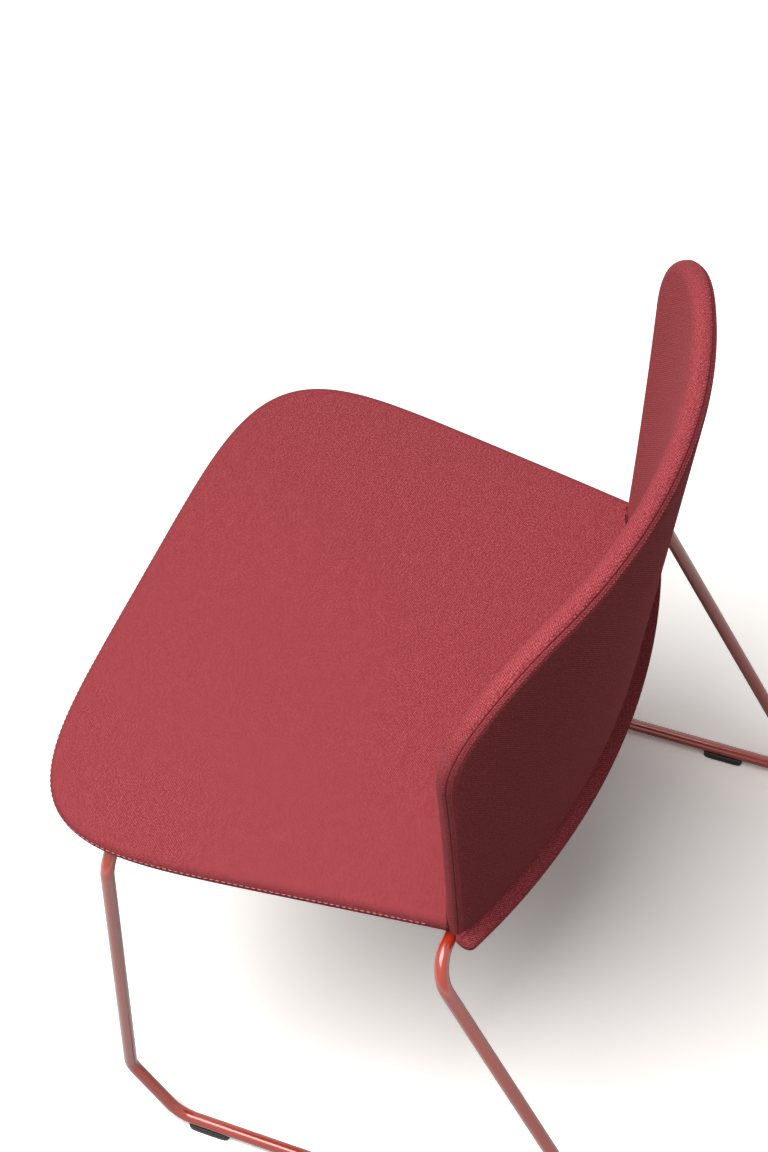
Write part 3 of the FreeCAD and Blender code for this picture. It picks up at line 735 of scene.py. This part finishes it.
def wool_twill(name, colour, light, pitch=1.6):
    """Piece-dyed wool twill of plied yarn: rows of raised yarn floats, stepped along a diagonal.

    Two sets of waves cross, one along the diagonal ribs and one across them, so that each float
    is a separate bead; finer noise of the yarn's own size breaks the rows up, and gives the nap.
    """
    material, tree, shader = new_material(name)
    weave = add_node(tree, "ShaderNodeUVMap", uv_map="weave")
    scale = 2 * math.pi / (20 * pitch * MM)
    ribs_turn = add_node(tree, "ShaderNodeMapping", {
        "Vector": weave.outputs["UV"], "Rotation": (0, 0, math.radians(38))})
    float_turn = add_node(tree, "ShaderNodeMapping", {
        "Vector": weave.outputs["UV"], "Rotation": (0, 0, math.radians(-64))})
    waves = {"Distortion": 3.0, "Detail": 2.0, "Detail Scale": 2.0, "Detail Roughness": 0.7}
    ribs = add_node(tree, "ShaderNodeTexWave", {
        "Vector": ribs_turn.outputs["Vector"], "Scale": scale, **waves})
    floats = add_node(tree, "ShaderNodeTexWave", {
        "Vector": float_turn.outputs["Vector"], "Scale": scale, **waves})
    nap = add_node(tree, "ShaderNodeTexNoise", {
        "Vector": weave.outputs["UV"], "Scale": 620.0, "Detail": 2.0, "Roughness": 0.6})
    mottle = add_node(tree, "ShaderNodeTexNoise", {
        "Vector": weave.outputs["UV"], "Scale": 110.0, "Detail": 2.0})
    beads = add_node(tree, "ShaderNodeMath", {0: ribs.outputs["Fac"], 1: floats.outputs["Fac"]},
                     operation="ADD")
    woven = add_node(tree, "ShaderNodeMath", {0: beads.outputs[0], 1: 0.15, 2: 0.0},
                     operation="MULTIPLY_ADD")
    fibres = add_node(tree, "ShaderNodeMath", {0: nap.outputs["Fac"], 1: 0.7, 2: woven.outputs[0]},
                      operation="MULTIPLY_ADD")
    shade = add_node(tree, "ShaderNodeMath", {
        0: mottle.outputs["Fac"], 1: 0.08, 2: fibres.outputs[0]}, operation="MULTIPLY_ADD")
    ramp = add_node(tree, "ShaderNodeValToRGB", {"Fac": shade.outputs[0]})
    ramp.color_ramp.elements[0].position = 0.34
    ramp.color_ramp.elements[0].color = [channel * 0.42 for channel in linear(colour)[:3]] + [1]
    ramp.color_ramp.elements[1].position = 0.8
    ramp.color_ramp.elements[1].color = linear(light)
    middle = ramp.color_ramp.elements.new(0.56)
    middle.color = linear(colour)
    bump = add_node(tree, "ShaderNodeBump", {
        "Height": fibres.outputs[0], "Strength": 0.75, "Distance": 0.45 * MM})
    tree.links.new(ramp.outputs["Color"], shader.inputs["Base Color"])
    tree.links.new(bump.outputs["Normal"], shader.inputs["Normal"])
    shader.inputs["Roughness"].default_value = 0.95
    shader.inputs["Sheen Weight"].default_value = 0.12
    shader.inputs["Sheen Roughness"].default_value = 0.4
    shader.inputs["Sheen Tint"].default_value = linear("#E88880")
    shader.inputs["Specular IOR Level"].default_value = 0.15
    return material


def polyester_thread(name, colour):
    """Spun polyester sewing thread, twisted: a fine slanting sheen along each stitch."""
    material, tree, shader = new_material(name)
    place = add_node(tree, "ShaderNodeTexCoord")
    twist = add_node(tree, "ShaderNodeTexWave", {
        "Vector": place.outputs["Object"], "Scale": 320.0, "Distortion": 0.5},
        bands_direction="DIAGONAL")
    ramp = add_node(tree, "ShaderNodeValToRGB", {"Fac": twist.outputs["Fac"]})
    ramp.color_ramp.elements[0].color = [channel * 0.7 for channel in linear(colour)[:3]] + [1]
    ramp.color_ramp.elements[1].color = linear(colour)
    tree.links.new(ramp.outputs["Color"], shader.inputs["Base Color"])
    shader.inputs["Roughness"].default_value = 0.7
    shader.inputs["Specular IOR Level"].default_value = 0.15
    return material


def powder_lacquer(name, colour):
    """Gloss powder lacquer on steel rod, stoved: deep colour under a clear skin, faint orange peel."""
    material, tree, shader = new_material(name)
    peel = object_noise(tree, 350.0, 2.0)
    pool = object_noise(tree, 14.0, 3.0)
    ramp = add_node(tree, "ShaderNodeValToRGB", {"Fac": pool.outputs["Fac"]})
    ramp.color_ramp.elements[0].position = 0.3
    ramp.color_ramp.elements[0].color = [channel * 0.82 for channel in linear(colour)[:3]] + [1]
    ramp.color_ramp.elements[1].position = 0.7
    ramp.color_ramp.elements[1].color = linear(colour)
    bump = add_node(tree, "ShaderNodeBump", {
        "Height": peel.outputs["Fac"], "Strength": 0.05, "Distance": 0.1 * MM})
    tree.links.new(ramp.outputs["Color"], shader.inputs["Base Color"])
    tree.links.new(bump.outputs["Normal"], shader.inputs["Normal"])
    shader.inputs["Roughness"].default_value = 0.3
    shader.inputs["Coat Weight"].default_value = 1.0
    shader.inputs["Coat Roughness"].default_value = 0.05
    shader.inputs["Coat IOR"].default_value = 1.55
    return material


def moulded_plastic(name, colour, grain):
    """Injection moulded polyamide with a spark-eroded grain: a soft dark sheen with fine pits."""
    material, tree, shader = new_material(name)
    place = add_node(tree, "ShaderNodeTexCoord")
    pits = add_node(tree, "ShaderNodeTexVoronoi", {
        "Vector": place.outputs["Object"], "Scale": 1 / (grain * MM)})
    scuff = object_noise(tree, 60.0, 4.0)
    rough = add_node(tree, "ShaderNodeMapRange", {
        "Value": scuff.outputs["Fac"], "To Min": 0.42, "To Max": 0.62})
    bump = add_node(tree, "ShaderNodeBump", {
        "Height": pits.outputs["Distance"], "Strength": 0.25, "Distance": 0.08 * MM})
    shader.inputs["Base Color"].default_value = linear(colour)
    tree.links.new(rough.outputs["Result"], shader.inputs["Roughness"])
    tree.links.new(bump.outputs["Normal"], shader.inputs["Normal"])
    return material


def zinc_plate(name):
    """Bright zinc plate, passivated blue: pale metal with a slightly cloudy finish."""
    material, tree, shader = new_material(name)
    cloud = object_noise(tree, 120.0, 3.0)
    rough = add_node(tree, "ShaderNodeMapRange", {
        "Value": cloud.outputs["Fac"], "To Min": 0.28, "To Max": 0.5})
    shader.inputs["Base Color"].default_value = linear("#C3C4BF")
    shader.inputs["Metallic"].default_value = 1.0
    tree.links.new(rough.outputs["Result"], shader.inputs["Roughness"])
    return material


def light_path(tree):
    """The light path's node, and a value of one for camera, glossy and transmission rays."""
    rays = add_node(tree, "ShaderNodeLightPath")
    seen = add_node(tree, "ShaderNodeMath", {
        0: rays.outputs["Is Camera Ray"], 1: rays.outputs["Is Glossy Ray"]}, operation="MAXIMUM")
    through = add_node(tree, "ShaderNodeMath", {
        0: seen.outputs[0], 1: rays.outputs["Is Transmission Ray"]}, operation="MAXIMUM")
    return rays, through


def studio_floor(name):
    """Matt white studio board: a pale diffuse sheet that keeps the shadow and clips to white.

    The camera sees it over-exposed by nearly a stop, and plain white from 1.7 m out.
    """
    material, tree, shader = new_material(name)
    place = add_node(tree, "ShaderNodeTexCoord")
    tooth = object_noise(tree, 40.0, 2.0)
    bump = add_node(tree, "ShaderNodeBump", {
        "Height": tooth.outputs["Fac"], "Strength": 0.02, "Distance": 0.1 * MM})
    tree.links.new(bump.outputs["Normal"], shader.inputs["Normal"])
    shader.inputs["Base Color"].default_value = linear("#F4F2EF")
    shader.inputs["Roughness"].default_value = 0.9
    shader.inputs["Specular IOR Level"].default_value = 0.0
    rays, through = light_path(tree)
    distance = add_node(tree, "ShaderNodeVectorMath", {0: place.outputs["Object"]}, operation="LENGTH")
    fade = add_node(tree, "ShaderNodeMapRange", {
        "Value": distance.outputs["Value"], "From Min": 0.5, "From Max": 1.7,
        "To Min": 0.0, "To Max": 1.0}, interpolation_type="SMOOTHSTEP")
    lift = add_node(tree, "ShaderNodeEmission", {
        "Color": linear("#FFFFFF"), "Strength": fade.outputs["Result"]})
    nothing = add_node(tree, "ShaderNodeEmission", {"Strength": 0.0})
    glow = add_node(tree, "ShaderNodeMixShader", {
        "Fac": through.outputs[0], 1: nothing.outputs[0], 2: lift.outputs[0]})
    dim = add_node(tree, "ShaderNodeBsdfDiffuse", {"Color": linear("#6A6866")})
    board = add_node(tree, "ShaderNodeMixShader", {
        "Fac": rays.outputs["Is Diffuse Ray"], 1: shader.outputs[0], 2: dim.outputs[0]})
    gain = add_node(tree, "ShaderNodeBsdfDiffuse", {
        "Color": (0.78, 0.75, 0.72, 1), "Normal": bump.outputs["Normal"]})
    exposed = add_node(tree, "ShaderNodeMixShader", {
        "Fac": rays.outputs["Is Camera Ray"], 2: gain.outputs[0]})
    board = add_node(tree, "ShaderNodeAddShader", {0: board.outputs[0], 1: exposed.outputs[0]})
    whole = add_node(tree, "ShaderNodeAddShader", {0: board.outputs[0], 1: glow.outputs[0]})
    output = next(node for node in tree.nodes if node.type == "OUTPUT_MATERIAL")
    tree.links.new(whole.outputs[0], output.inputs["Surface"])
    return material


# Operators

class CHAIR_OT_seat(Operator):
    """Add the upholstered seat, its underside cover and its row of stitches"""
    bl_idname = "chair.seat"
    bl_label = "Seat"

    def execute(self, context):
        colours = context.scene.chair_colours
        shape = context.scene.chair_seat
        twill = wool_twill("wool_twill_seat", colours.fabric, colours.fabric_light)
        under = wool_twill("wool_twill_underside", colours.fabric, colours.fabric_light)
        upholstered_seat(twill)
        seat_underside(under)
        outline = evenly(seat_outline(), OUTLINE_POINTS)
        facing = outward(outline)
        level = shape.front_z - shape.thickness + shape.seam_height + 4.2 * MM
        line = seat_frame_to_world(outline[:, 0], outline[:, 1], np.full(len(outline), level))
        tip = seat_frame_to_world(outline[:, 0] + facing[:, 0], outline[:, 1] + facing[:, 1],
                                  np.full(len(outline), level))
        normals = tip - line
        line = line + normals * 0.05 * MM
        front = outline[:, 1] < context.scene.chair_back.side_y - 14 * MM
        start = int(np.argmax(front & ~np.roll(front, 1)))
        order = np.roll(np.arange(len(outline)), -start)
        order = order[front[order]]
        thread = polyester_thread("polyester_thread_seat", colours.seat_thread)
        stitch_row("seat_stitches", line[order], normals[order], 5.0 * MM, 3.7 * MM, 0.42 * MM, thread)
        return {"FINISHED"}


class CHAIR_OT_back(Operator):
    """Add the upholstered back, its rear panel, its rear band and its seam"""
    bl_idname = "chair.back"
    bl_label = "Back"

    def execute(self, context):
        colours = context.scene.chair_colours
        shape = context.scene.chair_back
        upholstered_back(wool_twill("wool_twill_back", colours.fabric, colours.fabric_light))
        back_rear_panel(wool_twill("wool_twill_panel", colours.fabric, colours.fabric_light))
        rear_band(wool_twill("wool_twill_band", colours.fabric, colours.fabric_light))
        thread = polyester_thread("polyester_thread_back", colours.thread)
        # the seam strand's dark red, darker than the twill, is painted shade of the crease where the
        # front cover and the rear panel meet
        dark = polyester_thread("seam_strand_painted_shade", "#6E2228")
        foot = shape.level_z - 4 * MM

        def above_seat(points):
            return points[:, 1] > foot

        seam = shape.seam_offset + 0.2 * MM
        line, normals = rim_line(seam, -0.5 * MM, above_seat)
        strand = seam_cord("back_seam", line, normals, 0.5 * MM, dark)
        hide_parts("back_seam_welt")
        rows = {"front_rim_stitches": seam - 2.8 * MM, "rear_rim_stitches": seam + 2.6 * MM}
        for name, offset in rows.items():
            line, normals = rim_line(offset, 0.05 * MM, above_seat)
            stitch_row(name, line, normals, 3.4 * MM, 2.4 * MM, 0.3 * MM, thread)
        return {"FINISHED"}


class CHAIR_OT_frame(Operator):
    """Finish the sled frame, its glides, bars, spacers and fasteners"""
    bl_idname = "chair.frame"
    bl_label = "Frame"

    def execute(self, context):
        colours = context.scene.chair_colours
        lacquer = powder_lacquer("powder_lacquer_rod", colours.lacquer)
        glides = moulded_plastic("polyamide_glide", colours.glides, 0.5)
        spacers = moulded_plastic("polyamide_spacer", "#222224", 0.4)
        zinc = zinc_plate("zinc_plated_steel")
        ply = moulded_plastic("moulded_ply", "#A98258", 0.8)
        for side in (1, -1):
            sled_rod(side, lacquer)
        for end in ("front", "rear"):
            for side in ("left", "right"):
                glide(end + "_" + side + "_glide", glides)
        finishes = {
            "cross_bar": lacquer, "glide_pins": zinc,
            "spacer": spacers, "screws": zinc, "nuts": zinc, "bolts": zinc, "brackets": zinc,
            "shell": ply,
        }
        for name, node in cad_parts.items():
            finish = next((value for part, value in finishes.items() if part in name), None)
            if finish is None:
                continue
            for slot in node.material_slots:
                slot.material = finish
        return {"FINISHED"}


class CHAIR_OT_studio(Operator):
    """Add the floor, the key lamp and the camera"""
    bl_idname = "chair.studio"
    bl_label = "Studio"

    def execute(self, context):
        studio = context.scene.chair_studio
        reach = 6.0
        corners = np.array([[-1, -1, 0], [1, -1, 0], [1, 1, 0], [-1, 1, 0]]) * reach
        mesh = bpy.data.meshes.new("floor")
        mesh.from_pydata(corners.tolist(), [], [(0, 1, 2, 3)])
        mesh.materials.append(studio_floor("matt_white_board"))
        floor = bpy.data.objects.new("floor", mesh)
        context.scene.collection.objects.link(floor)
        add_lamp("key_lamp", (0.85, -0.35, 2.9), 2.0, 92.0)
        add_world(context)
        add_camera(context, studio)
        context.scene.view_settings.view_transform = "Standard"
        return {"FINISHED"}


def add_lamp(name, place, size, power):
    """A square softbox turned to the middle of the chair."""
    lamp = bpy.data.lights.new(name, "AREA")
    lamp.size = size
    lamp.energy = power
    holder = bpy.data.objects.new(name, lamp)
    aim = Vector((0, 0, 0.35)) - Vector(place)
    holder.matrix_world = Matrix.Translation(place) @ aim.to_track_quat("-Z", "Y").to_matrix().to_4x4()
    bpy.context.scene.collection.objects.link(holder)


def add_world(context):
    """Even pale surroundings, plain white where the camera or a gloss sees them."""
    world = bpy.data.worlds.new("studio_world")
    world.use_nodes = True
    tree = world.node_tree
    tree.nodes.clear()
    through = light_path(tree)[1]
    plain = add_node(tree, "ShaderNodeBackground", {"Color": (1, 1, 1, 1), "Strength": 0.17})
    white = add_node(tree, "ShaderNodeBackground", {"Color": (1, 1, 1, 1), "Strength": 1.0})
    mixed = add_node(tree, "ShaderNodeMixShader", {
        "Fac": through.outputs[0], 1: plain.outputs[0], 2: white.outputs[0]})
    add_node(tree, "ShaderNodeOutputWorld", {"Surface": mixed.outputs[0]})
    context.scene.world = world


def add_camera(context, studio):
    """The camera at the photograph's place, bearing, height angle and roll."""
    camera = bpy.data.cameras.new("camera")
    camera.lens = studio.lens
    camera.sensor_fit = "VERTICAL"
    camera.sensor_height = 36.0
    sine, cosine = math.sin(studio.azimuth), math.cos(studio.azimuth)
    rise, run = math.sin(studio.elevation), math.cos(studio.elevation)
    away = Vector((sine * run, cosine * run, rise))
    up = Vector((-rise * sine, -rise * cosine, run))
    right = up.cross(away)
    turned_right = right * math.cos(studio.roll) - up * math.sin(studio.roll)
    turned_up = right * math.sin(studio.roll) + up * math.cos(studio.roll)
    holder = bpy.data.objects.new("camera", camera)
    turn = Matrix((turned_right, turned_up, away)).transposed().to_4x4()
    holder.matrix_world = Matrix.Translation(studio.camera_place) @ turn
    context.scene.collection.objects.link(holder)
    context.scene.camera = holder


class CHAIR_PT_panel(Panel):
    """Lists the chair's operators and settings"""
    bl_label = "Chair"
    bl_idname = "CHAIR_PT_panel"
    bl_space_type = "VIEW_3D"
    bl_region_type = "UI"
    bl_category = "Chair"

    def draw(self, context):
        layout = self.layout
        for operator in OPERATORS:
            layout.operator(operator.bl_idname)
        for group in GROUPS:
            settings = getattr(context.scene, group)
            box = layout.box()
            for name in settings.__annotations__:
                box.prop(settings, name)


OPERATORS = (CHAIR_OT_seat, CHAIR_OT_back, CHAIR_OT_frame, CHAIR_OT_studio)
GROUPS = {"chair_seat": SeatSettings, "chair_back": BackSettings, "chair_rod": RodSettings,
          "chair_colours": ColourSettings, "chair_studio": StudioSettings}


def register():
    for group in GROUPS.values():
        bpy.utils.register_class(group)
    for name, group in GROUPS.items():
        setattr(bpy.types.Scene, name, PointerProperty(type=group))
    for part in (*OPERATORS, CHAIR_PT_panel):
        bpy.utils.register_class(part)


def unregister():
    for part in (CHAIR_PT_panel, *reversed(OPERATORS)):
        bpy.utils.unregister_class(part)
    for name, group in GROUPS.items():
        delattr(bpy.types.Scene, name)
        bpy.utils.unregister_class(group)


def main():
    register()
    bpy.ops.chair.seat()
    bpy.ops.chair.back()
    bpy.ops.chair.frame()
    bpy.ops.chair.studio()


if __name__ == "__main__":
    main()
